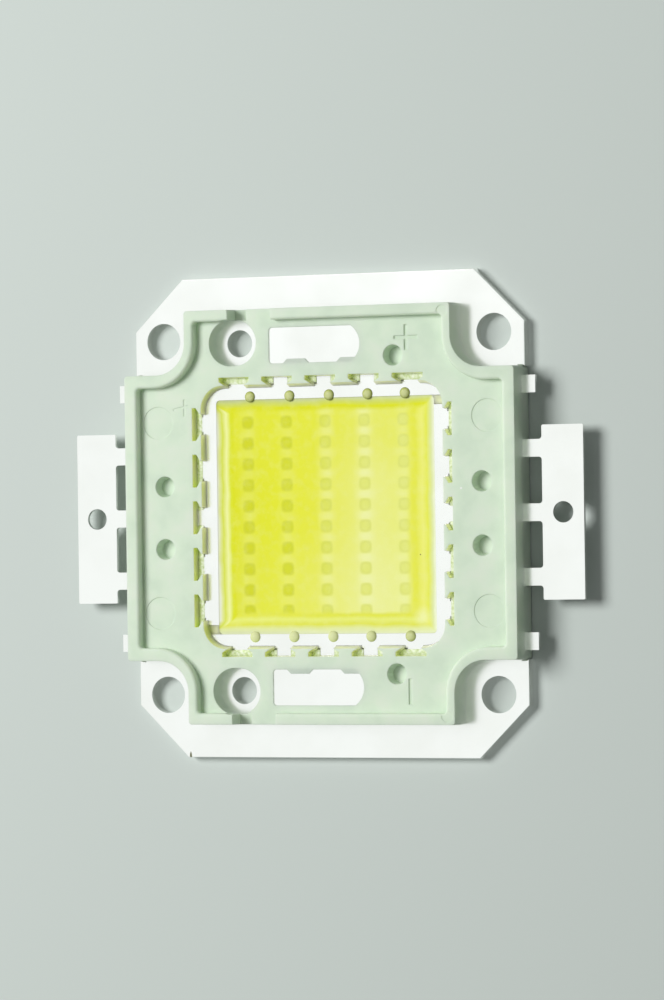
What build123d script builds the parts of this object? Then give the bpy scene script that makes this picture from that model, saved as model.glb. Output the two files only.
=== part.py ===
# High-power LED chip: fifty blue dies under phosphor silicone, on a silver-plated copper
# base plate, in a moulded white frame with two flat leads.
#
# Frame: millimetres, +Z up, origin at the bottom centre of the base plate.
# X runs from lead to lead, Y along the long side of the base plate.
import os

from build123d import *

# Base plate: a stamped copper slab with cut corners.
plate_width = 40.0
plate_length = 46.0
plate_thickness = 1.2
plate_corner = 5.0
plate_edge_round = 0.15
mount_side_setback = 3.0
mount_end_setback = 6.0
mount_hole_diameter = 3.5
small_hole_diameter = 2.6
edge_step_depth = 0.6

# Lead frame: flat stock, cut into two leads and four tie bars after moulding.
lead_height = 1.63
lead_thickness = 0.4
lead_pad_width = 4.1
lead_pad_length = 16.3
lead_pad_corner = 0.15
lead_hole_diameter = 2.0
leg_free_length = 1.9
leg_width = 1.65
leg_end_margin = 1.325
leg_root_fillet = 0.3
rail_width = 1.35
rail_gap = 0.9
rail_tooth_width = 1.4
rail_tooth_length = 1.3
tie_bar_setback = 1.725
tie_bar_free_length = 1.35
tie_bar_embedded_length = 3.5

# Moulded frame: a cross with a raised rim, drafted both ways from the lead plane.
frame_height = 4.0
block_screw_gap = 3.325
wing_screw_gap = 3.275
end_bar_width = 6.57
inner_corner_radius = 3.0
outer_corner_radius = 0.35
draft_angle = 1.5
skirt_lift = 0.1
rim_height = 1.0
wing_rim_width = 1.28
block_rim_width = 0.95
end_rim_width = 1.12
rim_edge_round = 0.3
rim_gap_shift = 0.1
rim_gap_overlap = 0.6
notch_width = 1.6
notch_floor_height = 2.0

# Wells round the two small holes, in the end bars of the frame.
well_length = 4.9
well_width = 4.4
well_wall = 1.17
well_setback = 4.675

# Lands of the base plate that come up flush into the two windows.
window_width = 3.4
window_wall = 1.32
window_well_gap = 1.35
window_setback = 9.575
window_end_bulge = 0.35
window_corner = 0.3
land_recess = 0.1
window_lug_width = 2.65
window_lug_height = 0.4
window_lug_angle = 45.0
first_lug_inset = 2.75
second_lug_inset = 1.05

# Cavity: the opening over the dies, with locking lugs over the rails.
light_opening = 22.4
light_opening_corner = 0.4
rail_shelf = 1.1
cavity_corner = 2.2
cavity_side_flare = 0.1
cavity_end_flare = 0.28
recess_count = 5
recess_end_margin = 3.384
recess_depth = 0.93
recess_overlap = 0.2
recess_neck_start = 0.33
recess_neck_end = 0.68
recess_back_width = 2.94
recess_mouth_width = 1.84
recess_draft_angle = 6.0

# Marks of the mould.
dimple_diameter = 2.0
dimple_depth = 1.2
dimple_draft_angle = 8.0
wing_dimple_setback = 3.74
wing_dimple_y = 3.0
block_dimple_gap = 3.375
block_dimple_wall = 1.77
ejector_diameter = 3.1
ejector_depth = 0.05
ejector_side_setback = 3.12
ejector_end_setback = 4.595
rim_ejector_diameter = 1.1
rim_ejector_side_setback = 0.825
rim_ejector_end_setback = 0.84
mark_side_setback = 4.875
mark_end_setback = 3.15
mark_length = 2.4
mark_stroke = 0.33
mark_depth = 0.12
stray_mark_side_setback = 5.9
stray_mark_end_setback = 3.2
stray_mark_length = 1.6
stray_mark_stroke = 0.2
stray_mark_depth = 0.04
stray_mark_turn = 12.0

# Dies: five strings of ten in series.
string_count = 5
string_side_margin = 2.63
dies_per_string = 10
string_end_margin = 1.63
die_size = 1.14
die_thickness = 0.15
attach_margin = 0.08
attach_thickness = 0.04

# Bond wires and the silicone round them.
wire_size = 0.05
wire_rise = 0.16
wire_clearance = 0.1
pad_inset = 0.2
fill_depth = 0.62
meniscus_width = 0.5
meniscus_lip = 0.05
dot_diameter = 1.0
dot_height = 0.2
dot_draft_angle = 20.0
dot_setback = 0.26
dot_shift = 0.4

# Levels and lengths that follow from the sizes above.
plate_top = plate_thickness
lead_top = lead_height + lead_thickness
floor_height = frame_height - rim_height
land_top = floor_height - land_recess

half_width = plate_width / 2
mount_x = half_width - mount_side_setback
mount_y = plate_length / 2 - mount_end_setback
opening_half = light_opening / 2
rail_outer = opening_half + rail_width
cavity_half = opening_half + rail_shelf
recess_back = cavity_half + recess_depth
block_half_width = mount_x - block_screw_gap
block_half_length = recess_back + end_bar_width
wing_half_length = mount_y - wing_screw_gap
pad_inner = half_width + leg_free_length
leg_pitch = (lead_pad_length - leg_width) / 2 - leg_end_margin
tie_bar_y = wing_half_length - tie_bar_setback

small_hole_x = well_setback - block_half_width
small_hole_y = recess_back + well_wall + well_width / 2
window_left = small_hole_x + well_length / 2 + window_well_gap
window_right = block_half_width - window_setback
window_y = recess_back + window_wall + window_width / 2
window_end_radius = window_width / 2 + window_end_bulge
window_lug_positions = (window_left + first_lug_inset, window_right - second_lug_inset)
rim_gap_start = small_hole_x - rim_gap_shift
rim_gap_end = window_left + rim_gap_overlap

wing_dimple_x = half_width - wing_dimple_setback
block_dimple_x = window_right + block_dimple_gap
block_dimple_y = recess_back + block_dimple_wall
ejector_x = half_width - ejector_side_setback
ejector_y = wing_half_length - ejector_end_setback
rim_ejector_x = block_half_width - rim_ejector_side_setback
rim_ejector_y = block_half_length - rim_ejector_end_setback
mark_x = block_half_width - mark_side_setback
mark_y = block_half_length - mark_end_setback
stray_mark_x = half_width - stray_mark_side_setback
stray_mark_y = wing_half_length - stray_mark_end_setback

string_pitch = (light_opening - 2 * string_side_margin - die_size) / (string_count - 1)
die_pitch = (light_opening - 2 * string_end_margin - die_size) / (dies_per_string - 1)
recess_pitch = 2 * (cavity_half - recess_end_margin) / (recess_count - 1)
die_base = plate_top + attach_thickness
die_top = die_base + die_thickness
fill_level = plate_top + fill_depth
dot_y = opening_half + dot_setback
string_positions = [(i - (string_count - 1) / 2) * string_pitch for i in range(string_count)]
die_positions = [(i - (dies_per_string - 1) / 2) * die_pitch for i in range(dies_per_string)]
recess_positions = [(i - (recess_count - 1) / 2) * recess_pitch for i in range(recess_count)]
pad_reach = die_size / 2 - pad_inset

os.makedirs("parts", exist_ok=True)


def write(piece, name):
    piece.label = name
    export_step(piece, f"parts/{name}.step")


def plate_outline():
    """The slab's octagon, stepped in where the frame wraps round its long sides."""
    with BuildSketch() as outline:
        Rectangle(plate_width, plate_length)
        chamfer(outline.vertices(), plate_corner)
        with Locations((half_width, 0), (-half_width, 0)):
            Rectangle(2 * edge_step_depth, 2 * wing_half_length, mode=Mode.SUBTRACT)
    return outline.sketch


def cross_outline(side_inset, end_inset, block_inset, inner_radius):
    """The frame's cross, drawn in from its outer walls, with its inner corners filled by quarter rounds."""
    wing_x = half_width - side_inset
    block_y = block_half_length - end_inset
    with BuildSketch() as outline:
        Rectangle(2 * wing_x, 2 * (wing_half_length - side_inset))
        Rectangle(2 * (block_half_width - block_inset), 2 * block_y)
        inner = outline.vertices().filter_by(lambda v: abs(v.X) < wing_x - 0.01 and abs(v.Y) < block_y - 0.01)
        reach = min(wing_x - block_half_width + block_inset, block_y - wing_half_length + side_inset)
        fillet(inner, min(inner_radius, reach - 2 * outer_corner_radius))
        outer = outline.vertices().filter_by(
            lambda v: abs(abs(v.X) - wing_x) < 0.01 or abs(abs(v.Y) - block_y) < 0.01)
        fillet(outer, outer_corner_radius)
    return outline.sketch


def window_outline():
    """The window: square at one end, an arc at the other."""
    half = window_width / 2
    arc_start = window_right - window_end_radius + (window_end_radius**2 - half**2) ** 0.5
    with BuildSketch() as outline:
        with BuildLine():
            left = Polyline((arc_start, half), (window_left, half), (window_left, -half), (arc_start, -half))
            ThreePointArc(left @ 1, (window_right, 0), left @ 0)
        make_face()
        square_end = outline.vertices().group_by(Axis.X)[0]
        fillet(square_end, window_corner)
    return outline.sketch


def recess_outline():
    """One recess between two locking lugs, its mouth on the X axis and opening towards +Y."""
    with BuildSketch() as outline:
        with BuildLine():
            Polyline(
                (-recess_mouth_width / 2, -recess_overlap),
                (-recess_mouth_width / 2, recess_neck_start),
                (-recess_back_width / 2, recess_neck_end),
                (-recess_back_width / 2, recess_depth),
                (recess_back_width / 2, recess_depth),
                (recess_back_width / 2, recess_neck_end),
                (recess_mouth_width / 2, recess_neck_start),
                (recess_mouth_width / 2, -recess_overlap),
                close=True,
            )
        make_face()
    return outline.sketch


window = window_outline()
recess = recess_outline()

# Base plate
with BuildPart() as base_plate:
    add(plate_outline())
    extrude(amount=plate_thickness)
    fillet(base_plate.edges().group_by(Axis.Z)[-1], plate_edge_round)
    with Locations((0, 0, plate_top)):
        with GridLocations(2 * mount_x, 2 * mount_y, 2, 2):
            Hole(mount_hole_diameter / 2)
    with Locations((small_hole_x, small_hole_y, plate_top), (small_hole_x, -small_hole_y, plate_top)):
        Hole(small_hole_diameter / 2)
    with BuildSketch(Plane.XY.offset(plate_top)):
        with Locations((0, window_y), (0, -window_y)):
            add(window)
    extrude(amount=land_top - plate_top)
write(base_plate.part, "base_plate")


def make_lead(turn):
    """One lead: a pad on three legs, joined to two sides of the rail round the dies."""
    pad_centre = pad_inner + lead_pad_width / 2
    rail_centre = opening_half + rail_width / 2
    side_start = opening_half - rail_gap
    with BuildPart() as lead:
        with BuildSketch(Plane.XY.offset(lead_height).rotated((0, 0, turn))) as profile:
            with Locations((-pad_centre, 0)):
                Rectangle(lead_pad_width, lead_pad_length)
            fillet(profile.vertices(), lead_pad_corner)
            with Locations((-(rail_outer + pad_inner) / 2, 0)):
                with GridLocations(1, leg_pitch, 1, 3):
                    Rectangle(pad_inner - rail_outer, leg_width)
            roots = profile.vertices().filter_by(
                lambda v: abs(v.X + pad_inner) < 0.01 and abs(v.Y) < leg_pitch + leg_width)
            fillet(roots, leg_root_fillet)
            with Locations((-pad_centre, 0)):
                Circle(lead_hole_diameter / 2, mode=Mode.SUBTRACT)
            # Side rail, from the gap at one corner to the joined corner.
            with Locations((-rail_centre, (rail_outer - side_start) / 2)):
                Rectangle(rail_width, rail_outer + side_start)
            # End rail, under the corner of the cavity at its far end.
            with Locations((0, rail_centre)):
                Rectangle(2 * rail_outer, rail_width)
            # Teeth that lock into the moulding behind each recess.
            for place in recess_positions:
                with Locations((-rail_outer - rail_tooth_length / 2, place)):
                    Rectangle(rail_tooth_length, rail_tooth_width)
                with Locations((place, rail_outer + rail_tooth_length / 2)):
                    Rectangle(rail_tooth_width, rail_tooth_length)
            with Locations((-opening_half + light_opening_corner / 2, opening_half - light_opening_corner / 2)):
                Rectangle(light_opening_corner, light_opening_corner)
            RectangleRounded(light_opening, light_opening, light_opening_corner, mode=Mode.SUBTRACT)
        extrude(amount=lead_thickness)
    return lead.part


anode_lead = make_lead(0)
cathode_lead = make_lead(180)
write(anode_lead, "anode_lead")
write(cathode_lead, "cathode_lead")

# Tie bars: stubs of the strip that held the frame until it was cut out.
tie_bars = {}
tie_bar_length = tie_bar_embedded_length + tie_bar_free_length
for side, x_sign in (("left", -1), ("right", 1)):
    for end, y_sign in (("top", 1), ("bottom", -1)):
        with BuildPart() as tie_bar:
            with BuildSketch(Plane.XY.offset(lead_height)):
                tie_x = half_width + tie_bar_free_length - tie_bar_length / 2
                with Locations((x_sign * tie_x, y_sign * tie_bar_y)):
                    Rectangle(tie_bar_length, leg_width)
            extrude(amount=lead_thickness)
        tie_bars[f"tie_bar_{side}_{end}"] = tie_bar.part
for name, bar in tie_bars.items():
    write(bar, name)

# Moulded frame
with BuildPart() as frame:
    outer = cross_outline(0, 0, 0, inner_corner_radius)
    floor = cross_outline(wing_rim_width, end_rim_width, block_rim_width, inner_corner_radius + wing_rim_width)
    # Both drafts start from the mould's parting plane, which looks down.
    parting_plane = Plane(origin=(0, 0, lead_top), z_dir=(0, 0, -1))
    with BuildSketch(parting_plane):
        add(outer)
    extrude(amount=lead_top - frame_height, taper=draft_angle)
    with BuildSketch(parting_plane):
        add(outer)
    extrude(amount=lead_top - skirt_lift, taper=draft_angle)
    # What lies below the plate's top stays only where it wraps round the plate's long sides.
    with BuildSketch():
        add(plate_outline())
    extrude(amount=plate_top, mode=Mode.SUBTRACT)
    # Floor inside the rim, whose inner edge is rounded
    with BuildSketch(Plane.XY.offset(floor_height)):
        add(floor)
    extrude(amount=rim_height, mode=Mode.SUBTRACT)
    fillet(frame.faces().sort_by(Axis.Z)[-1].inner_wires()[0].edges(), rim_edge_round)
    # Gaps in the end rims, and deeper notches through them beside the wells
    with BuildSketch(Plane.XY.offset(floor_height)):
        for sign in (1, -1):
            with Locations(((rim_gap_start + rim_gap_end) / 2, sign * block_half_length)):
                Rectangle(rim_gap_end - rim_gap_start, 2 * end_rim_width)
    extrude(amount=rim_height, mode=Mode.SUBTRACT)
    with BuildSketch(Plane.XY.offset(notch_floor_height)):
        for sign in (1, -1):
            with Locations((rim_gap_start + notch_width / 2, sign * block_half_length)):
                Rectangle(notch_width, 2 * end_rim_width)
    extrude(amount=floor_height - notch_floor_height, mode=Mode.SUBTRACT)
    # Wells, cavity and light opening
    with BuildSketch(Plane.XY.offset(plate_top)):
        with Locations((small_hole_x, small_hole_y), (small_hole_x, -small_hole_y)):
            SlotOverall(well_length, well_width)
        RectangleRounded(light_opening, light_opening, light_opening_corner)
    extrude(amount=frame_height - plate_top, mode=Mode.SUBTRACT)
    with BuildSketch(Plane.XY.offset(lead_top)):
        RectangleRounded(2 * cavity_half, 2 * cavity_half, cavity_corner)
    with BuildSketch(Plane.XY.offset(floor_height)):
        RectangleRounded(2 * (cavity_half + cavity_side_flare), 2 * (cavity_half + cavity_end_flare),
                         cavity_corner + cavity_side_flare)
    loft(mode=Mode.SUBTRACT)
    with BuildSketch(Plane.XY.offset(lead_top)):
        for place in recess_positions:
            for turn in (0, 90, 180, 270):
                with Locations(Location((0, 0), turn)):
                    with Locations((place, cavity_half)):
                        add(recess)
    extrude(amount=floor_height - lead_top, taper=-recess_draft_angle, mode=Mode.SUBTRACT)
    # Windows over the lands, less the lugs that reach over them
    with BuildSketch(Plane.XY.offset(land_top)):
        for sign in (1, -1):
            with Locations((0, sign * window_y)):
                add(window)
            for place in window_lug_positions:
                with Locations((place, sign * (window_y - window_width / 2))):
                    Trapezoid(window_lug_width + 2 * window_lug_height, 2 * window_lug_height, window_lug_angle,
                              rotation=0 if sign > 0 else 180, mode=Mode.SUBTRACT)
    extrude(amount=land_recess, mode=Mode.SUBTRACT)
    # Dimples, ejector marks and polarity marks
    with BuildSketch(Plane.XY.offset(floor_height)):
        with GridLocations(2 * wing_dimple_x, 2 * wing_dimple_y, 2, 2):
            Circle(dimple_diameter / 2)
        with Locations((block_dimple_x, block_dimple_y), (block_dimple_x, -block_dimple_y)):
            Circle(dimple_diameter / 2)
    extrude(amount=-dimple_depth, taper=dimple_draft_angle, mode=Mode.SUBTRACT)
    with BuildSketch(Plane.XY.offset(floor_height)):
        with GridLocations(2 * ejector_x, 2 * ejector_y, 2, 2):
            Circle(ejector_diameter / 2)
    extrude(amount=-ejector_depth, mode=Mode.SUBTRACT)
    with BuildSketch(Plane.XY.offset(frame_height)):
        with Locations((rim_ejector_x, rim_ejector_y), (rim_ejector_x, -rim_ejector_y)):
            Circle(rim_ejector_diameter / 2)
    extrude(amount=-ejector_depth, mode=Mode.SUBTRACT)
    with BuildSketch(Plane.XY.offset(floor_height)):
        with Locations((mark_x, mark_y)):
            Rectangle(mark_length, mark_stroke)
            Rectangle(mark_stroke, mark_length)
        with Locations((mark_x, -mark_y)):
            Rectangle(mark_stroke, mark_length)
    extrude(amount=-mark_depth, mode=Mode.SUBTRACT)
    # A faint mark on one wing, like a crooked plus
    with BuildSketch(Plane.XY.offset(floor_height)):
        with Locations((-stray_mark_x, stray_mark_y)):
            Rectangle(stray_mark_stroke, stray_mark_length)
        with Locations((-stray_mark_x - stray_mark_length / 4, stray_mark_y)):
            Rectangle(stray_mark_length, stray_mark_stroke, rotation=stray_mark_turn)
    extrude(amount=-stray_mark_depth, mode=Mode.SUBTRACT)
    # Seats of the pieces that the moulding holds
    add([base_plate.part, anode_lead, cathode_lead, *tie_bars.values()], mode=Mode.SUBTRACT)
write(frame.part, "frame")

# Dies, their adhesive and their bond wires, one string at a time
inner_pieces = []
wire_half = wire_size / 2
wire_seat = die_top + wire_half


def wire_profile(points):
    """The side view of a bond wire that runs through (y, z) points."""
    with BuildSketch() as profile:
        with BuildLine():
            Polyline(*points)
            offset(amount=wire_half, kind=Kind.INTERSECTION)
        make_face()
    return profile.sketch


# From one die's pad over to the next die's
die_wire = wire_profile([
    (pad_reach, 0), (pad_reach + wire_rise, wire_rise),
    (die_pitch - pad_reach - 2 * wire_rise, wire_rise), (die_pitch - pad_reach, 0)])
# From the last die's pad up over the edge of the rail
rail_wire = wire_profile([
    (die_positions[-1] + pad_reach, wire_seat),
    (dot_y - dot_diameter / 2 - wire_clearance, fill_level - wire_clearance),
    (opening_half - wire_clearance, lead_top + wire_clearance),
    (dot_y, lead_top + wire_clearance),
    (dot_y + 2 * wire_clearance, lead_top + wire_half)])

for index, string_x in enumerate(string_positions, start=1):
    with BuildPart() as die_attach:
        with BuildSketch(Plane.XY.offset(plate_top)):
            with Locations(*[(string_x, y) for y in die_positions]):
                Rectangle(die_size + 2 * attach_margin, die_size + 2 * attach_margin)
        extrude(amount=attach_thickness)
    with BuildPart() as die_string:
        with BuildSketch(Plane.XY.offset(die_base)):
            with Locations(*[(string_x, y) for y in die_positions]):
                Rectangle(die_size, die_size)
        extrude(amount=die_thickness)
    with BuildPart() as bond_wires:
        with BuildSketch(Plane.YZ.offset(string_x - wire_half)):
            with Locations(*[(y, wire_seat) for y in die_positions[:-1]]):
                add(die_wire)
        extrude(amount=wire_size)
        with BuildSketch(Plane.YZ.offset(string_x + dot_shift - wire_half)):
            add(rail_wire)
            mirror(about=Plane.YZ)
        extrude(amount=wire_size)
    for piece, name in ((die_attach, "die_attach"), (die_string, "die_string"), (bond_wires, "bond_wires")):
        write(piece.part, f"{name}_{index}")
        inner_pieces.append(piece.part)

# Encapsulant: phosphor silicone that fills the light opening, with a dot over each rail bond
with BuildPart() as encapsulant:
    with BuildSketch(Plane.XY.offset(plate_top)):
        RectangleRounded(light_opening, light_opening, light_opening_corner)
    extrude(amount=lead_top - plate_top)
    with BuildSketch(Plane.XY.offset(fill_level)):
        RectangleRounded(light_opening - 2 * meniscus_width, light_opening - 2 * meniscus_width,
                         light_opening_corner)
    with BuildSketch(Plane.XY.offset(lead_top)):
        RectangleRounded(light_opening - 2 * meniscus_lip, light_opening - 2 * meniscus_lip,
                         light_opening_corner)
    loft(mode=Mode.SUBTRACT)
    with BuildSketch(Plane.XY.offset(fill_level)) as dots:
        for string_x in string_positions:
            with Locations((string_x + dot_shift, dot_y), (string_x + dot_shift, -dot_y)):
                Circle(dot_diameter / 2)
    extrude(amount=lead_top - fill_level)
    with BuildSketch(Plane.XY.offset(lead_top)):
        add(dots.sketch_local)
    extrude(amount=dot_height, taper=dot_draft_angle)
    add([anode_lead, cathode_lead] + inner_pieces, mode=Mode.SUBTRACT)
write(encapsulant.part, "encapsulant")
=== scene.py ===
from math import pi

import bpy
from mathutils import Matrix, Vector


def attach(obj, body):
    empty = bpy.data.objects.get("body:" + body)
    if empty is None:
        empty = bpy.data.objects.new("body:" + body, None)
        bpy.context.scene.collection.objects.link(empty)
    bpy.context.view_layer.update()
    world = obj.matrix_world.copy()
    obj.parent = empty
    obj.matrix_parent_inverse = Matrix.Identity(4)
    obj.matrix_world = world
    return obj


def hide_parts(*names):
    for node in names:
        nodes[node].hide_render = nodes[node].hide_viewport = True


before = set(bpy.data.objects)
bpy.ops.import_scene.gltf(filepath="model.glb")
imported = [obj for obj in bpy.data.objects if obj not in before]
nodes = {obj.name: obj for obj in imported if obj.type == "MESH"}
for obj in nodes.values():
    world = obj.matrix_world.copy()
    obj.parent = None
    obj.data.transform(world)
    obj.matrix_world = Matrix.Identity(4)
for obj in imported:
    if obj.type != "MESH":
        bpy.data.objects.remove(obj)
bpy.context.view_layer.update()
mm = 0.001
# faces that meet at less than this angle, in radians, are shaded as one
smoothAngle = 0.9
# a direction counts as upright from this length of its z part
upright = 0.9
# settings that many nodes share, and the sockets of a colour Mix node: its share, its two colours and its result
eased = {"interpolation_type": "SMOOTHSTEP"}
blend = {"data_type": "RGBA"}
share, under, over, mixed = 0, 6, 7, 2


def linear(hexColour):
    # sRGB hex to the linear colour that the shaders take
    parts = [int(hexColour[i:i + 2], 16) / 255 for i in (1, 3, 5)]
    return tuple(p / 12.92 if p <= 0.04045 else ((p + 0.055) / 1.055) ** 2.4 for p in parts) + (1.0,)


def addNode(tree, kind, settings=None, links=None):
    # adds one node, sets its properties and sockets, and links other sockets to it
    node = tree.nodes.new(kind)
    for name, value in (settings or {}).items():
        if name == "stops":
            # a colour ramp's positions and colours
            elements = node.color_ramp.elements
            while len(elements) < len(value):
                elements.new(0.5)
            for element, (position, colour) in zip(elements, value):
                element.position, element.color = position, linear(colour)
        elif name == "span":
            # the range that a Map Range node reads, then the one that it gives, where that isn't 0 to 1
            for socket, number in zip(("From Min", "From Max", "To Min", "To Max"), value):
                node.inputs[socket].default_value = number
        elif isinstance(name, int) or (name in node.inputs and not hasattr(node, name)):
            node.inputs[name].default_value = value
        else:
            setattr(node, name, value)
    for name, source in (links or {}).items():
        tree.links.new(source, node.inputs[name])
    return node


def startMaterial(name, colour, roughness, metallic=0.0):
    # a Principled material with its plain values set, and its object coordinates
    material = bpy.data.materials.new(name)
    material.use_nodes = True
    shader = material.node_tree.nodes["Principled BSDF"]
    shader.inputs["Base Color"].default_value = linear(colour)
    shader.inputs["Roughness"].default_value = roughness
    shader.inputs["Metallic"].default_value = metallic
    place = addNode(material.node_tree, "ShaderNodeTexCoord").outputs["Object"]
    return material, material.node_tree, shader, place


def dress(start, material):
    # gives one material to every CAD node whose name begins so
    for name in nodes:
        if name.startswith(start):
            nodes[name].data.materials.clear()
            nodes[name].data.materials.append(material)


def pick(piece, kind, test):
    # selects the faces or edges that pass a test on their centre in mm and their direction
    bpy.ops.object.mode_set(mode="EDIT")
    bpy.ops.mesh.select_mode(type=kind)
    bpy.ops.mesh.select_all(action="DESELECT")
    bpy.ops.object.mode_set(mode="OBJECT")
    data = piece.data
    if kind == "FACE":
        for face in data.polygons:
            face.select = test(face.center / mm, face.normal)
    else:
        for edge in data.edges:
            ends = [data.vertices[i].co / mm for i in edge.vertices]
            edge.select = test((ends[0] + ends[1]) / 2, (ends[1] - ends[0]).normalized())
    bpy.ops.object.mode_set(mode="EDIT")


# The camera stands where the photograph was taken from, as fitted to the part's holes and edges.
cameraFit = {"tilt": (-0.0094675, -0.3960397, 0.0138908), "shift": (-0.29887, -1.48992), "distance": 447.110,
             "plateTop": 1.2, "focal": 4706.91, "pictureHeight": 1000, "sensor": 36.0, "clip": (0.01, 5.0)}
rx, ry, rz = cameraFit["tilt"]
turn = Matrix.Rotation(rz, 3, "Z") @ Matrix.Rotation(rx, 3, "X") @ Matrix.Rotation(ry, 3, "Y")
back = turn.transposed()
spot = back @ Vector((-cameraFit["shift"][0], -cameraFit["shift"][1], cameraFit["distance"]))
spot.z += cameraFit["plateTop"]
cameraData = bpy.data.cameras.new("camera")
cameraData.sensor_fit = "VERTICAL"
cameraData.sensor_height = cameraFit["sensor"]
cameraData.lens = cameraFit["focal"] * cameraFit["sensor"] / cameraFit["pictureHeight"]
cameraData.clip_start, cameraData.clip_end = cameraFit["clip"]
cameraObject = bpy.data.objects.new("camera", cameraData)
cameraObject.matrix_world = Matrix.Translation(spot * mm) @ back.to_4x4()
bpy.context.scene.collection.objects.link(cameraObject)
bpy.context.scene.camera = cameraObject
print("camera ready")

# Floor: a plain pale sheet. The camera sees it paler than the object does, so that the object keeps its shade.
floor = {"size": 900, "height": -0.02, "colour": "#c9d1cc", "bounceColour": "#68736d", "roughness": 0.9,
         "specular": 0.1}
bpy.ops.object.select_all(action="DESELECT")
bpy.ops.mesh.primitive_plane_add(size=floor["size"] * mm, location=(0, 0, floor["height"] * mm))
floorObject = bpy.context.object
floorObject.name = "floor"
bpy.ops.object.transform_apply(location=True, rotation=True, scale=True)
mattePaper, tree, shader, place = startMaterial("mattePaper", floor["colour"], floor["roughness"])
shader.inputs["Specular IOR Level"].default_value = floor["specular"]
rays = addNode(tree, "ShaderNodeLightPath")
seen = addNode(tree, "ShaderNodeMath", {"operation": "MAXIMUM"},
               {0: rays.outputs["Is Camera Ray"], 1: rays.outputs["Is Glossy Ray"]})
paper = addNode(tree, "ShaderNodeMix",
                {**blend, under: linear(floor["bounceColour"]), over: linear(floor["colour"])},
                {share: seen.outputs[0]})
tree.links.new(paper.outputs[mixed], shader.inputs["Base Color"])
floorObject.data.materials.append(mattePaper)

# Light: a soft box high on the left, a small spark beside it for highlights, and an even sky. Gloss sees a
# brighter sky, as in a white tent.
light = {"key": (-240, 100, 400), "keySize": 240, "keyPower": 2.15, "spark": (-150, 120, 420), "sparkSize": 18,
         "sparkPower": 0.03, "sky": "#eef2f0", "skyStrength": 0.22, "glossStrength": 1.08}
for name, stand, size, power in (("softBox", light["key"], light["keySize"], light["keyPower"]),
                                 ("spark", light["spark"], light["sparkSize"], light["sparkPower"])):
    lamp = bpy.data.lights.new(name, "AREA")
    lamp.shape = "DISK"
    lamp.size = size * mm
    lamp.energy = power
    lampObject = bpy.data.objects.new(name, lamp)
    lampObject.location = Vector(stand) * mm
    lampObject.rotation_mode = "QUATERNION"
    lampObject.rotation_quaternion = (-Vector(stand)).to_track_quat("-Z", "Y")
    lampObject.visible_glossy = name == "spark"
    bpy.context.scene.collection.objects.link(lampObject)
world = bpy.data.worlds.new("studio")
bpy.context.scene.world = world
world.use_nodes = True
tree = world.node_tree
sky = tree.nodes["Background"]
sky.inputs["Color"].default_value = linear(light["sky"])
rays = addNode(tree, "ShaderNodeLightPath")
seen = addNode(tree, "ShaderNodeMath", {"operation": "MAXIMUM"},
               {0: rays.outputs["Is Camera Ray"], 1: rays.outputs["Is Glossy Ray"]})
seen = addNode(tree, "ShaderNodeMath", {"operation": "MAXIMUM"},
               {0: seen.outputs[0], 1: rays.outputs["Is Transmission Ray"]})
strength = addNode(tree, "ShaderNodeMapRange", {"span": (0.0, 1.0, light["skyStrength"], light["glossStrength"])},
                   {"Value": seen.outputs[0]})
tree.links.new(strength.outputs["Result"], sky.inputs["Strength"])
bpy.context.scene.view_settings.view_transform = "Standard"
print("stage ready")

# Silver plate on stamped copper: nearly white, with soft reflections, a faint cloudiness and a very fine grain.
silver = {"colour": "#fdfdfb", "dull": "#f9f9f6", "cloud": 6.0, "roughness": 0.22, "spread": 0.04, "grain": 0.12,
          "bump": 0.0012, "bumpStrength": 0.5, "nick": (-14.72, -22.85, 1.2), "nickHalf": (0.12, 0.42, 0.6),
          "nickColour": "#6f6f4c", "nickFade": (1.1, 0.6)}
satinSilverPlate, tree, shader, place = startMaterial("satinSilverPlate", silver["colour"], silver["roughness"], 1.0)
cloud = addNode(tree, "ShaderNodeTexNoise", {"Scale": 1 / (silver["cloud"] * mm), "Detail": 4.0}, {"Vector": place})
tone = addNode(tree, "ShaderNodeValToRGB", {"stops": [(0.32, silver["dull"]), (0.6, silver["colour"])]},
               {"Fac": cloud.outputs["Fac"]})
# a short dark scratch crosses the plate's lower edge
offset = addNode(tree, "ShaderNodeVectorMath", {"operation": "SUBTRACT", 1: Vector(silver["nick"]) * mm}, {0: place})
offset = addNode(tree, "ShaderNodeVectorMath", {"operation": "DIVIDE", 1: Vector(silver["nickHalf"]) * mm},
                 {0: offset.outputs["Vector"]})
apart = addNode(tree, "ShaderNodeVectorMath", {"operation": "LENGTH"}, {0: offset.outputs["Vector"]})
scratch = addNode(tree, "ShaderNodeMapRange", {"span": silver["nickFade"]}, {"Value": apart.outputs["Value"]})
tone = addNode(tree, "ShaderNodeMix", {**blend, over: linear(silver["nickColour"])},
               {share: scratch.outputs["Result"], under: tone.outputs["Color"]})
tree.links.new(tone.outputs[mixed], shader.inputs["Base Color"])
sheen = addNode(tree, "ShaderNodeMapRange", {"span": (0.3, 0.7, silver["roughness"] - silver["spread"],
                                                      silver["roughness"] + silver["spread"])},
                {"Value": cloud.outputs["Fac"]})
tree.links.new(sheen.outputs["Result"], shader.inputs["Roughness"])
grain = addNode(tree, "ShaderNodeTexNoise", {"Scale": 1 / (silver["grain"] * mm), "Detail": 3.0}, {"Vector": place})
bump = addNode(tree, "ShaderNodeBump", {"Strength": silver["bumpStrength"], "Distance": silver["bump"] * mm},
               {"Height": grain.outputs["Fac"]})
tree.links.new(bump.outputs["Normal"], shader.inputs["Normal"])
dress(("base_plate", "anode", "cathode", "tie_bar"), satinSilverPlate)
print("silver ready")

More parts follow.
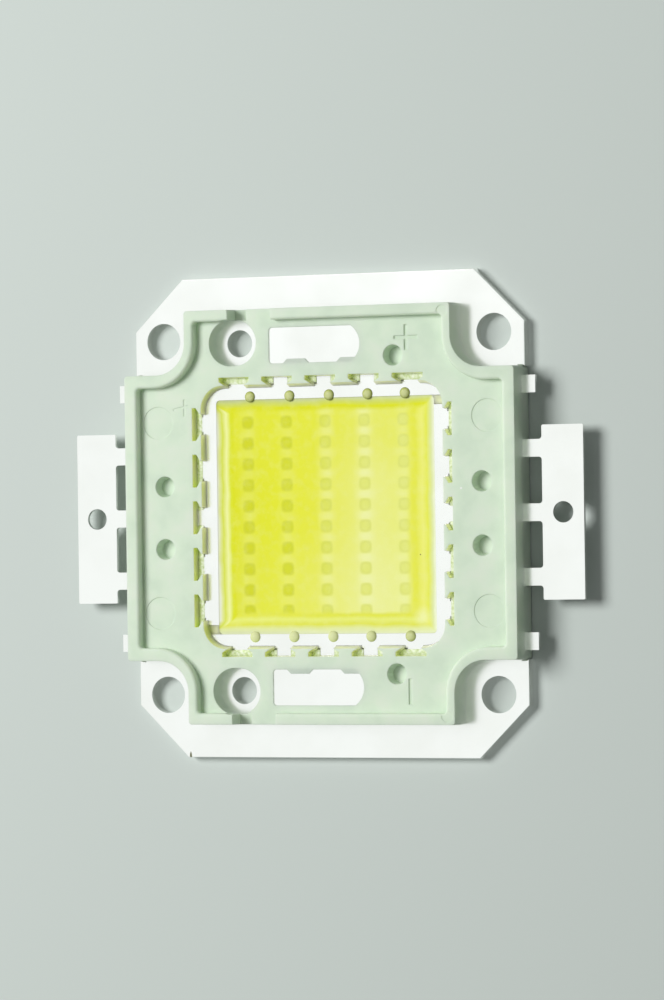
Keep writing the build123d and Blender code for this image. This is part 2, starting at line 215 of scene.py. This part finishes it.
# White PPA, moulded: matte and a little greenish, softly lit through at thin edges, and tinted olive and left
# glossy by the silicone inside the cavity. The olive is partly a stain and partly painted light: the yellow light
# that the phosphor casts on the walls, and a near-white tone that lifts their shade.
housing = {"colour": "#d8e7d2", "grey": "#d1e1cc", "warm": "#dde8d6", "roughness": 0.5, "softness": 0.38,
           "depth": 1.3, "depthTint": (1.0, 1.0, 0.85), "grain": 0.12, "bump": 0.004, "bumpStrength": 0.5,
           "cloud": 2.5, "edge": 0.08, "cavityHalf": 13.35, "cavityTop": 2.985, "sideFade": 0.03, "topFade": 0.01,
           "olive": "#edfab0", "oliveDeep": "#e7f69c", "olivePale": "#eefaca", "paleShare": 0.7,
           "stainRoughness": 0.13, "stainSoftness": 1.0, "fleck": (14.185, 2.372, 3.0), "fleckSize": 0.13,
           "fleckColour": "#f4f7f2"}
mouldedPpa, tree, shader, place = startMaterial("mouldedPpa", housing["colour"], housing["roughness"])
shader.inputs["Subsurface Weight"].default_value = housing["softness"]
shader.inputs["Subsurface Radius"].default_value = housing["depthTint"]
shader.inputs["Subsurface Scale"].default_value = housing["depth"] * mm
cloud = addNode(tree, "ShaderNodeTexNoise", {"Scale": 1 / (housing["cloud"] * mm), "Detail": 3.0}, {"Vector": place})
plain = addNode(tree, "ShaderNodeValToRGB",
                {"stops": [(0.3, housing["grey"]), (0.5, housing["colour"]), (0.7, housing["warm"])]},
                {"Fac": cloud.outputs["Fac"]})
# the olive tint, partly stain and partly painted light, is deepest on the left and paler to the right
stainAndPaintedLight = addNode(tree, "ShaderNodeValToRGB", {"stops": [(0.35, housing["oliveDeep"]), (0.6, housing["olive"])]},
                {"Fac": cloud.outputs["Fac"]})
axes = addNode(tree, "ShaderNodeSeparateXYZ", links={"Vector": place})
sideways = addNode(tree, "ShaderNodeMapRange",
                   {"span": (-housing["cavityHalf"] * mm, housing["cavityHalf"] * mm, 0.0, housing["paleShare"])},
                   {"Value": axes.outputs["X"]})
stainAndPaintedLight = addNode(tree, "ShaderNodeMix", {**blend, over: linear(housing["olivePale"])},
                {share: sideways.outputs["Result"], under: stainAndPaintedLight.outputs["Color"]})
# the tinted region, stain and painted light, is a square with the cavity's walls in it, below the frame's floor
reachX = addNode(tree, "ShaderNodeMath", {"operation": "ABSOLUTE"}, {0: axes.outputs["X"]})
reachY = addNode(tree, "ShaderNodeMath", {"operation": "ABSOLUTE"}, {0: axes.outputs["Y"]})
reach = addNode(tree, "ShaderNodeMath", {"operation": "MAXIMUM"}, {0: reachX.outputs[0], 1: reachY.outputs[0]})
within = addNode(tree, "ShaderNodeMapRange",
                 {**eased, "span": ((housing["cavityHalf"] + housing["sideFade"]) * mm, housing["cavityHalf"] * mm)},
                 {"Value": reach.outputs[0]})
below = addNode(tree, "ShaderNodeMapRange",
                {**eased, "span": ((housing["cavityTop"] + housing["topFade"]) * mm, housing["cavityTop"] * mm)},
                {"Value": axes.outputs["Z"]})
inside = addNode(tree, "ShaderNodeMath", {"operation": "MULTIPLY"},
                 {0: within.outputs["Result"], 1: below.outputs["Result"]})
tone = addNode(tree, "ShaderNodeMix", blend,
               {share: inside.outputs[0], under: plain.outputs["Color"], over: stainAndPaintedLight.outputs[mixed]})
for socket, dry, wet in (("Subsurface Weight", housing["softness"], housing["stainSoftness"]),
                         ("Roughness", housing["roughness"], housing["stainRoughness"])):
    change = addNode(tree, "ShaderNodeMapRange", {"span": (0.0, 1.0, dry, wet)}, {"Value": inside.outputs[0]})
    tree.links.new(change.outputs["Result"], shader.inputs[socket])
# one white fleck lies on the right wing's floor
apart = addNode(tree, "ShaderNodeVectorMath", {"operation": "DISTANCE", 1: Vector(housing["fleck"]) * mm}, {0: place})
fleck = addNode(tree, "ShaderNodeMapRange", {"span": (housing["fleckSize"] * mm, 0.5 * housing["fleckSize"] * mm)},
                {"Value": apart.outputs["Value"]})
tone = addNode(tree, "ShaderNodeMix", {**blend, over: linear(housing["fleckColour"])},
               {share: fleck.outputs["Result"], under: tone.outputs[mixed]})
tree.links.new(tone.outputs[mixed], shader.inputs["Base Color"])
# small rounds at the moulding's edges, and a fine grain
grain = addNode(tree, "ShaderNodeTexNoise", {"Scale": 1 / (housing["grain"] * mm), "Detail": 2.0}, {"Vector": place})
rounded = addNode(tree, "ShaderNodeBevel", {"samples": 6, "Radius": housing["edge"] * mm})
bump = addNode(tree, "ShaderNodeBump", {"Strength": housing["bumpStrength"], "Distance": housing["bump"] * mm},
               {"Height": grain.outputs["Fac"], "Normal": rounded.outputs["Normal"]})
tree.links.new(bump.outputs["Normal"], shader.inputs["Normal"])
dress("frame", mouldedPpa)
print("housing ready")

# Phosphor silicone, poured and cured: a soft gloss over dense yellow powder, deep yellow on the left and paler to
# the lower right, which is painted glare. It climbs its walls, with painted highlight and shade along them, and
# the dies show through as darker squares.
pool = {"half": 11.19, "corner": 0.4, "cornerSegments": 5, "low": 1.21, "high": 2.02, "colour": "#e4e83c",
        "gloss": 0.14, "ior": 1.41,
        # the top steps down from its rim to its middle: width and depth of each step
        "steps": [(0.12, 0.07), (0.15, 0.05), (0.25, 0.04), (0.35, 0.03)],
        # colours from left to right, and how the body changes to the top and to the bottom; the paling to the right
        # and the bottom's veil are painted glare
        "body": [(-9.6, "#e2e51e"), (-5.0, "#e8eb2b"), (-1.0, "#eaec40"), (5.0, "#eff28a"), (9.6, "#ecf06e")],
        "rich": "#e8eb3a", "richFade": (2.0, 8.5), "richShare": 0.55,
        "glareVeil": "#f5fabc", "glareVeilFade": (0.0, -7.5), "glareVeilHalf": 6.0, "glareVeilShares": (0.06, 0.3),
        "wobble": 0.35, "wobbleReach": 0.5,
        # dies, and the painted glare spots between them
        "die": [(-8.0, "#d6da18"), (-3.0, "#d9de22"), (1.0, "#e3e868"), (6.0, "#e6eb7c")],
        "pitchX": 4.0, "pitchY": 2.0, "dieHalf": 0.57, "dieFade": 0.17, "dieRound": 0.7, "dieStrength": 0.95,
        "rim": "#c3ca48", "rimOuter": (0.12, -0.05), "rimInner": (-0.25, -0.08), "rimStrength": 0.17,
        "milkAndGlare": "#f7fbc0", "glareColumn": (1.3, 0.1), "glareGap": (0.3, 1.0, 0.35), "glareRise": (-4.0, 4.0, 0.14, 0.55),
        "glareFall": (5.0, 7.5, 1.0, 0.45),
        # colours by distance from each wall, which paint the meniscus's highlight and shade, and where they give way
        # to the body
        "left": [(0.05, "#f4f8e3"), (0.25, "#e8ed9f"), (0.55, "#dae34d"), (0.97, "#f4f8a5"), (1.35, "#dfe52a"),
                 (1.6, "#e2e50f")],
        "top": [(0.05, "#d3dca1"), (0.4, "#d4dd6a"), (0.8, "#e0e40f")],
        "right": [(0.05, "#edf2d8"), (0.4, "#dee7a4"), (0.85, "#e8ec4f"), (1.3, "#f1f278"), (2.0, "#e9eb46")],
        "bottom": [(0.1, "#e3eabc"), (0.5, "#e5eca1"), (0.85, "#e4e74f"), (1.33, "#ecf27a"), (1.7, "#e7ea47")],
        "fades": {"left": (1.9, 1.5), "right": (3.1, 2.2), "top": (1.4, 0.8), "bottom": (2.2, 1.7)},
        "wallSpan": 3.2, "bendFrom": 9.9, "bend": 0.75, "mitre": (-0.15, 0.25),
        # small marks: a painted glare patch, mottling, powder grain and a speck
        "glarePatch": (9.75, -9.6, 1.82), "glarePatchReach": 1.3, "glarePatchShare": 0.6, "mottle": 1.1, "mottleShare": 0.16,
        "powder": 6.0, "powderColour": "#c9cd2a", "powderShare": 0.05,
        "speck": (9.552, -3.797, 1.82), "speckSize": 0.09, "speckColour": "#6b6a22"}
bpy.ops.object.select_all(action="DESELECT")
bpy.ops.mesh.primitive_cube_add(size=1, location=(0, 0, (pool["high"] + pool["low"]) / 2 * mm),
                                scale=(2 * pool["half"] * mm, 2 * pool["half"] * mm,
                                       (pool["high"] - pool["low"]) * mm))
poolPiece = bpy.context.object
poolPiece.name = "phosphor_pool"
bpy.ops.object.transform_apply(location=True, rotation=True, scale=True)
pick(poolPiece, "FACE", lambda centre, normal: normal.z > upright)
for wide, deep in pool["steps"]:
    bpy.ops.mesh.inset(thickness=wide * mm, depth=-deep * mm)
pick(poolPiece, "EDGE", lambda centre, along: abs(along.z) > upright)
bpy.ops.mesh.bevel(offset=pool["corner"] * mm, segments=pool["cornerSegments"], affect="EDGES")
bpy.ops.object.mode_set(mode="OBJECT")
bpy.ops.object.shade_smooth_by_angle(angle=smoothAngle)

phosphorSilicone, tree, shader, place = startMaterial("phosphorSilicone", pool["colour"], pool["gloss"])
shader.inputs["IOR"].default_value = pool["ior"]
# the pattern works in millimetres, and a slow wobble keeps its lines from being ruled
scaled = addNode(tree, "ShaderNodeVectorMath", {"operation": "SCALE", "Scale": 1 / mm}, {0: place}).outputs["Vector"]
slow = addNode(tree, "ShaderNodeTexNoise", {"Scale": pool["wobble"], "Detail": 2.0}, {"Vector": scaled})
wobble = pool["wobbleReach"]
shove = addNode(tree, "ShaderNodeVectorMath",
                {"operation": "MULTIPLY_ADD", 1: (wobble, wobble, 0.0), 2: (-wobble / 2, -wobble / 2, 0.0)},
                {0: slow.outputs["Color"]})
shoved = addNode(tree, "ShaderNodeVectorMath", {"operation": "ADD"}, {0: scaled, 1: shove.outputs["Vector"]})
axes = addNode(tree, "ShaderNodeSeparateXYZ", links={"Vector": scaled})
loose = addNode(tree, "ShaderNodeSeparateXYZ", links={"Vector": shoved.outputs["Vector"]})
acrossX, acrossY = axes.outputs["X"], axes.outputs["Y"]
# the body pales from left to right, is richer at the top, and has a veil at the bottom, stronger on the right;
# the paling and the veil are painted glare
along = addNode(tree, "ShaderNodeMapRange", {"span": (-pool["half"], pool["half"])}, {"Value": loose.outputs["X"]})
runs = {}
for row in ("body", "die"):
    stops = [(0.5 + 0.5 * x / pool["half"], colour) for x, colour in pool[row]]
    run = addNode(tree, "ShaderNodeValToRGB", {"stops": stops}, {"Fac": along.outputs["Result"]})
    runs[row] = run.outputs["Color"]
upward = addNode(tree, "ShaderNodeMapRange", {**eased, "span": (*pool["richFade"], 0.0, pool["richShare"])},
                 {"Value": loose.outputs["Y"]})
base = addNode(tree, "ShaderNodeMix", {**blend, over: linear(pool["rich"])},
               {share: upward.outputs["Result"], under: runs["body"]}).outputs[mixed]
descent = addNode(tree, "ShaderNodeMapRange", {**eased, "span": pool["glareVeilFade"]}, {"Value": loose.outputs["Y"]})
rightwardGlare = addNode(tree, "ShaderNodeMapRange", {"span": (-pool["glareVeilHalf"], pool["glareVeilHalf"], *pool["glareVeilShares"])},
                {"Value": loose.outputs["X"]})
glareVeil = addNode(tree, "ShaderNodeMath", {"operation": "MULTIPLY"},
               {0: descent.outputs["Result"], 1: rightwardGlare.outputs["Result"]})
base = addNode(tree, "ShaderNodeMix", {**blend, over: linear(pool["glareVeil"])},
               {share: glareVeil.outputs[0], under: base}).outputs[mixed]
# how far a point lies from the nearest die's centre, along x and along y
offX = addNode(tree, "ShaderNodeMath", {"operation": "WRAP", 1: pool["pitchX"] / 2, 2: -pool["pitchX"] / 2},
               {0: acrossX})
offX = addNode(tree, "ShaderNodeMath", {"operation": "ABSOLUTE"}, {0: offX.outputs[0]}).outputs[0]
shiftY = addNode(tree, "ShaderNodeMath", {"operation": "SUBTRACT", 1: pool["pitchY"] / 2}, {0: acrossY})
offY = addNode(tree, "ShaderNodeMath", {"operation": "WRAP", 1: pool["pitchY"] / 2, 2: -pool["pitchY"] / 2},
               {0: shiftY.outputs[0]})
offY = addNode(tree, "ShaderNodeMath", {"operation": "ABSOLUTE"}, {0: offY.outputs[0]}).outputs[0]
# painted glare spots between the dies of a string, strongest over the fourth string
paling = addNode(tree, "ShaderNodeMapRange", {**eased, "span": pool["glareRise"]}, {"Value": acrossX}).outputs["Result"]
for name, source in (("glareFall", acrossX), ("glareColumn", offX), ("glareGap", offY)):
    limit = addNode(tree, "ShaderNodeMapRange", {**eased, "span": pool[name]}, {"Value": source})
    paling = addNode(tree, "ShaderNodeMath", {"operation": "MULTIPLY"},
                    {0: paling, 1: limit.outputs["Result"]}).outputs[0]
base = addNode(tree, "ShaderNodeMix", {**blend, over: linear(pool["milkAndGlare"])},
               {share: paling, under: base}).outputs[mixed]
# the dies' squares, each with a faint darker rim
away = addNode(tree, "ShaderNodeMath", {"operation": "SMOOTH_MAX", 2: pool["dieRound"]},
               {0: offX, 1: offY}).outputs[0]
square = addNode(tree, "ShaderNodeMapRange",
                 {**eased, "span": (pool["dieHalf"] + pool["dieFade"], pool["dieHalf"] - pool["dieFade"], 0.0,
                                    pool["dieStrength"])}, {"Value": away})
base = addNode(tree, "ShaderNodeMix", blend,
               {share: square.outputs["Result"], under: base, over: runs["die"]}).outputs[mixed]
outer = addNode(tree, "ShaderNodeMapRange",
                {**eased, "span": (*(pool["dieHalf"] + step for step in pool["rimOuter"]), 0.0, pool["rimStrength"])},
                {"Value": away})
inner = addNode(tree, "ShaderNodeMapRange",
                {**eased, "span": [pool["dieHalf"] + step for step in pool["rimInner"]]}, {"Value": away})
ring = addNode(tree, "ShaderNodeMath", {"operation": "MULTIPLY"},
               {0: outer.outputs["Result"], 1: inner.outputs["Result"]})
base = addNode(tree, "ShaderNodeMix", {**blend, over: linear(pool["rim"])},
               {share: ring.outputs[0], under: base}).outputs[mixed]
# along each wall the silicone climbs: a pale film, a dark trough that is painted shade and a bright line that is a
# painted highlight, which runs into the left corners; the top wall's greyish band is painted shade of the rail's wall
height = addNode(tree, "ShaderNodeMath", {"operation": "ABSOLUTE"}, {0: acrossY})
beyond = addNode(tree, "ShaderNodeMath", {"operation": "SUBTRACT", 1: pool["bendFrom"]}, {0: height.outputs[0]})
beyond = addNode(tree, "ShaderNodeMath", {"operation": "MAXIMUM", 1: 0.0}, {0: beyond.outputs[0]})
bend = addNode(tree, "ShaderNodeMath", {"operation": "MULTIPLY", 1: pool["bend"]}, {0: beyond.outputs[0]})
wall = {}
for side, axis, sign in (("left", "X", 1), ("right", "X", -1), ("bottom", "Y", 1), ("top", "Y", -1)):
    wall[side] = addNode(tree, "ShaderNodeMath", {"operation": "MULTIPLY_ADD", 1: sign, 2: pool["half"]},
                         {0: loose.outputs[axis]}).outputs[0]
wall["left"] = addNode(tree, "ShaderNodeMath", {"operation": "ADD"}, {0: wall["left"], 1: bend.outputs[0]}).outputs[0]
nearest = addNode(tree, "ShaderNodeMath", {"operation": "MINIMUM"}, {0: wall["left"], 1: wall["right"]})
for side in ("left", "right", "bottom", "top"):
    part = addNode(tree, "ShaderNodeMapRange", {"span": (0.0, pool["wallSpan"])}, {"Value": wall[side]})
    stops = [(distance / pool["wallSpan"], colour) for distance, colour in pool[side]]
    lined = addNode(tree, "ShaderNodeValToRGB", {"stops": stops}, {"Fac": part.outputs["Result"]})
    cover = addNode(tree, "ShaderNodeMapRange", {**eased, "span": pool["fades"][side]},
                    {"Value": wall[side]}).outputs["Result"]
    if side in ("bottom", "top"):
        # these two meet the left and right walls' lines in a mitre
        closer = addNode(tree, "ShaderNodeMath", {"operation": "SUBTRACT"}, {0: nearest.outputs[0], 1: wall[side]})
        closer = addNode(tree, "ShaderNodeMapRange", {**eased, "span": pool["mitre"]}, {"Value": closer.outputs[0]})
        cover = addNode(tree, "ShaderNodeMath", {"operation": "MULTIPLY"},
                        {0: cover, 1: closer.outputs["Result"]}).outputs[0]
    base = addNode(tree, "ShaderNodeMix", blend,
                   {share: cover, under: base, over: lined.outputs["Color"]}).outputs[mixed]
# a painted glare patch in the lower right corner, slow mottling, powder grain, and one dark speck
apart = addNode(tree, "ShaderNodeVectorMath", {"operation": "DISTANCE", 1: pool["glarePatch"]},
                {0: shoved.outputs["Vector"]})
glarePatch = addNode(tree, "ShaderNodeMapRange", {**eased, "span": (pool["glarePatchReach"], 0.0, 0.0, pool["glarePatchShare"])},
               {"Value": apart.outputs["Value"]})
mottle = addNode(tree, "ShaderNodeTexNoise", {"Scale": pool["mottle"], "Detail": 3.0}, {"Vector": scaled})
mottle = addNode(tree, "ShaderNodeMapRange", {"span": (0.45, 0.8, 0.0, pool["mottleShare"])},
                 {"Value": mottle.outputs["Fac"]})
powder = addNode(tree, "ShaderNodeTexNoise", {"Scale": pool["powder"], "Detail": 2.0}, {"Vector": scaled})
powder = addNode(tree, "ShaderNodeMapRange", {"span": (0.25, 0.75, 0.0, pool["powderShare"])},
                 {"Value": powder.outputs["Fac"]})
apart = addNode(tree, "ShaderNodeVectorMath", {"operation": "DISTANCE", 1: pool["speck"]}, {0: scaled})
speck = addNode(tree, "ShaderNodeMapRange", {"span": (pool["speckSize"], 0.4 * pool["speckSize"])},
                {"Value": apart.outputs["Value"]})
for mark, colour in ((glarePatch, pool["milkAndGlare"]), (mottle, pool["milkAndGlare"]), (powder, pool["powderColour"]),
                     (speck, pool["speckColour"])):
    base = addNode(tree, "ShaderNodeMix", {**blend, over: linear(colour)},
                   {share: mark.outputs["Result"], under: base}).outputs[mixed]
tree.links.new(base, shader.inputs["Base Color"])
poolPiece.data.materials.append(phosphorSilicone)
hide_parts("encapsulant")
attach(poolPiece, "root")
print("silicone ready")

# Bond domes: a drop of the same silicone over each string's first and last wire, where it meets the lead.
# Khaki and glossy, with painted shade darkening its rim and painted light on its crown. The lower row is paler,
# most of all on the left.
dome = {"radius": 0.53, "height": 0.27, "base": 2.01, "segments": 28, "rings": 16, "cut": 0.0001, "reach": 11.46,
        "upper": (-7.65, -3.55, 0.52, 4.47, 8.28), "lower": (-7.42, -3.38, 0.64, 4.54, 8.54),
        "rim": "#868e46", "flank": "#adb565", "crown": "#cbd193", "pale": "#dde3ac", "paleSpan": (2.0, 8.0),
        "paleShares": (0.85, 0.3), "gloss": 0.12, "speckle": 0.2, "shake": 0.25}
bpy.ops.object.select_all(action="DESELECT")
bpy.ops.mesh.primitive_uv_sphere_add(segments=dome["segments"], ring_count=dome["rings"], radius=dome["radius"] * mm,
                                     location=(0, 0, 0), scale=(1, 1, dome["height"] / dome["radius"]))
domePiece = bpy.context.object
domePiece.name = "bond_domes"
bpy.ops.object.transform_apply(location=True, rotation=True, scale=True)
bpy.ops.object.mode_set(mode="EDIT")
bpy.ops.mesh.select_all(action="SELECT")
# the cut needs a threshold far below the drop's size
bpy.ops.mesh.bisect(plane_co=(0, 0, 0), plane_no=(0, 0, 1), use_fill=True, clear_inner=True,
                    threshold=dome["cut"] * mm)
bpy.ops.object.mode_set(mode="OBJECT")
bpy.ops.object.shade_smooth_by_angle(angle=smoothAngle)
spots = [(x, dome["reach"]) for x in dome["upper"]] + [(x, -dome["reach"]) for x in dome["lower"]]
domeCopies = []
for x, y in spots[1:]:
    domeCopy = domePiece.copy()
    domeCopy.data = domePiece.data.copy()
    domeCopy.location = Vector((x, y, dome["base"])) * mm
    bpy.context.scene.collection.objects.link(domeCopy)
    domeCopies.append(domeCopy)
domePiece.location = Vector((*spots[0], dome["base"])) * mm
bpy.ops.object.select_all(action="DESELECT")
for domeCopy in domeCopies + [domePiece]:
    domeCopy.select_set(True)
bpy.context.view_layer.objects.active = domePiece
bpy.ops.object.join()
bpy.ops.object.transform_apply(location=True, rotation=True, scale=True)
siliconeDrop, tree, shader, place = startMaterial("siliconeDrop", dome["crown"], dome["gloss"])
shader.inputs["IOR"].default_value = pool["ior"]
axes = addNode(tree, "ShaderNodeSeparateXYZ", links={"Vector": place})
climb = addNode(tree, "ShaderNodeMapRange", {"span": (dome["base"] * mm, (dome["base"] + dome["height"]) * mm)},
                {"Value": axes.outputs["Z"]})
speckle = addNode(tree, "ShaderNodeTexNoise", {"Scale": 1 / (dome["speckle"] * mm)}, {"Vector": place})
shake = addNode(tree, "ShaderNodeMapRange", {"span": (0.0, 1.0, -dome["shake"], dome["shake"])},
                {"Value": speckle.outputs["Fac"]})
climb = addNode(tree, "ShaderNodeMath", {"operation": "ADD"}, {0: climb.outputs["Result"], 1: shake.outputs["Result"]})
# painted shade at the rim, lightening by height to painted light at the crown
tone = addNode(tree, "ShaderNodeValToRGB",
               {"stops": [(0.25, dome["rim"]), (0.6, dome["flank"]), (0.95, dome["crown"])]},
               {"Fac": climb.outputs[0]})
lower = addNode(tree, "ShaderNodeMapRange", {"span": (mm, -mm)}, {"Value": axes.outputs["Y"]})
paling = addNode(tree, "ShaderNodeMapRange", {"span": (*(x * mm for x in dome["paleSpan"]), *dome["paleShares"])},
                {"Value": axes.outputs["X"]})
lower = addNode(tree, "ShaderNodeMath", {"operation": "MULTIPLY"},
                {0: lower.outputs["Result"], 1: paling.outputs["Result"]})
tone = addNode(tree, "ShaderNodeMix", {**blend, over: linear(dome["pale"])},
               {share: lower.outputs[0], under: tone.outputs["Color"]})
tree.links.new(tone.outputs[mixed], shader.inputs["Base Color"])
domePiece.data.materials.append(siliconeDrop)
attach(domePiece, "root")
print("domes ready")

# Films: clear silicone that crept into the recesses behind the leads. The silver shines through it, dulled, speckled
# and olive. A film is one bar, or two where a lead's tooth fills the middle of an open recess.
film = {"low": 2.01, "high": 2.12, "near": 12.68, "far": 13.33, "halfWidth": 1.57, "neckHalf": 0.72,
        "slope": 0.06, "slopeSegments": 3, "pitch": 4.458,
        "open": {"left": (0,), "right": (0,), "top": (-1, 0, 1), "bottom": (-1, 0, 1)},
        "turns": {"right": 0, "top": 90, "left": 180, "bottom": 270},
        "colour": "#e2ecc4", "pale": "#f3f8e2", "olive": "#cedba2", "shine": 0.8, "gloss": 0.3, "speckle": 0.3}
filmPieces = []
for side, degrees in film["turns"].items():
    for step in (-2, -1, 0, 1, 2):
        spans = [(-film["halfWidth"], film["halfWidth"])]
        if step in film["open"][side]:
            spans = [(-film["halfWidth"], -film["neckHalf"]), (film["neckHalf"], film["halfWidth"])]
        for begin, end in spans:
            middle = Vector(((film["near"] + film["far"]) / 2, step * film["pitch"] + (begin + end) / 2,
                             (film["low"] + film["high"]) / 2))
            size = Vector((film["far"] - film["near"], end - begin, film["high"] - film["low"]))
            bpy.ops.object.select_all(action="DESELECT")
            bpy.ops.mesh.primitive_cube_add(size=1, location=middle * mm, scale=size * mm)
            filmPiece = bpy.context.object
            bpy.ops.object.transform_apply(location=True, rotation=True, scale=True)
            pick(filmPiece, "EDGE", lambda centre, along: centre.z > film["high"] - 0.01)
            bpy.ops.mesh.bevel(offset=film["slope"] * mm, segments=film["slopeSegments"], affect="EDGES")
            bpy.ops.mesh.select_all(action="SELECT")
            bpy.ops.transform.rotate(value=-degrees * pi / 180, orient_axis="Z", center_override=(0, 0, 0))
            bpy.ops.object.mode_set(mode="OBJECT")
            filmPieces.append(filmPiece)
bpy.ops.object.select_all(action="DESELECT")
for filmPiece in filmPieces:
    filmPiece.select_set(True)
bpy.context.view_layer.objects.active = filmPieces[0]
bpy.ops.object.join()
filmPiece = bpy.context.object
filmPiece.name = "recess_films"
bpy.ops.object.shade_smooth_by_angle(angle=smoothAngle)
siliconeOverSilver, tree, shader, place = startMaterial("siliconeOverSilver", film["colour"], film["gloss"],
                                                        film["shine"])
speckle = addNode(tree, "ShaderNodeTexNoise", {"Scale": 1 / (film["speckle"] * mm), "Detail": 2.0}, {"Vector": place})
tone = addNode(tree, "ShaderNodeValToRGB",
               {"stops": [(0.35, film["olive"]), (0.5, film["colour"]), (0.66, film["pale"])]},
               {"Fac": speckle.outputs["Fac"]})
tree.links.new(tone.outputs["Color"], shader.inputs["Base Color"])
filmPiece.data.materials.append(siliconeOverSilver)
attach(filmPiece, "root")
print("films ready")

# Dies, adhesive and bond wires lie under the silicone: clear yellowish sapphire, silver-filled epoxy and drawn gold.
# Each has its name, its colour, a darker one for flecks, its roughness and how metallic it is.
buried = {"die_string": ("sapphireDie", "#c9cd3a", "#b5b934", 0.1, 0.0),
          "die_attach": ("silverEpoxy", "#d9dbc8", "#c3c5b4", 0.4, 0.0),
          "bond_wires": ("goldWire", "#e2b64e", "#cba446", 0.25, 1.0)}
fleckSize = 0.3
for start, (name, colour, dark, roughness, metallic) in buried.items():
    material, tree, shader, place = startMaterial(name, colour, roughness, metallic)
    fleck = addNode(tree, "ShaderNodeTexNoise", {"Scale": 1 / (fleckSize * mm)}, {"Vector": place})
    tone = addNode(tree, "ShaderNodeValToRGB", {"stops": [(0.3, dark), (0.7, colour)]}, {"Fac": fleck.outputs["Fac"]})
    tree.links.new(tone.outputs["Color"], shader.inputs["Base Color"])
    dress(start, material)
print("dies ready")
